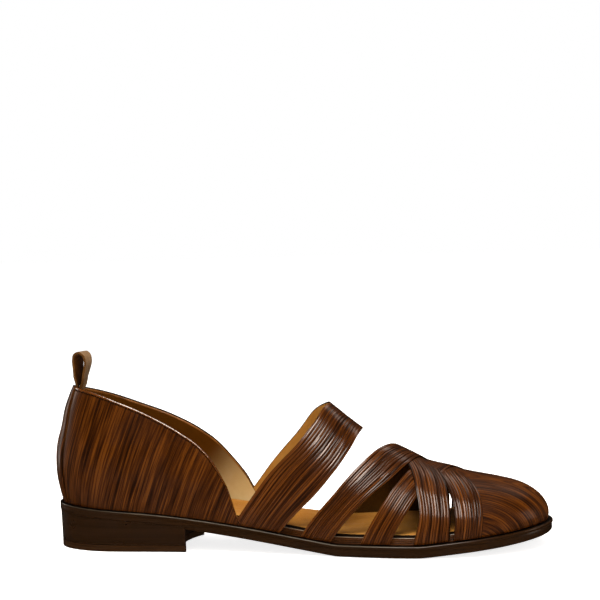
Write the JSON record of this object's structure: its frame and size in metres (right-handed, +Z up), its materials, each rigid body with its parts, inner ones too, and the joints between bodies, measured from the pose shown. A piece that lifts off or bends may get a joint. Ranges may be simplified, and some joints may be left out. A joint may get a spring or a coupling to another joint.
{
  "type": "peshawari chappal",
  "caption": "Closed-toe leather sandal with straps woven over the vamp, an instep strap, a quarter cut away at both sides, a low stacked heel and a pull loop.",
  "frame": {"origin": "on the floor, under the middle of the shoe's bounding box", "axes": "+X to the toe, -Y to the outer side of the foot, +Z up"},
  "size_m": [0.2802, 0.0936, 0.1102],
  "materials": {
    "sole_leather": "semi-gloss dark brown",
    "heel_leather": "semi-gloss dark brown",
    "heel_rubber": "satin dark brown",
    "footbed_leather": "satin tan",
    "upper_leather": "glossy streaked brown",
    "loop_leather": "glossy brown"
  },
  "bodies": {
    "root": {"outsole": "sole_leather", "heel_stack": "heel_leather", "top_lift": "heel_rubber", "insole": "footbed_leather", "upper": "upper_leather", "pull_loop": "loop_leather"}
  },
  "joints": []
}
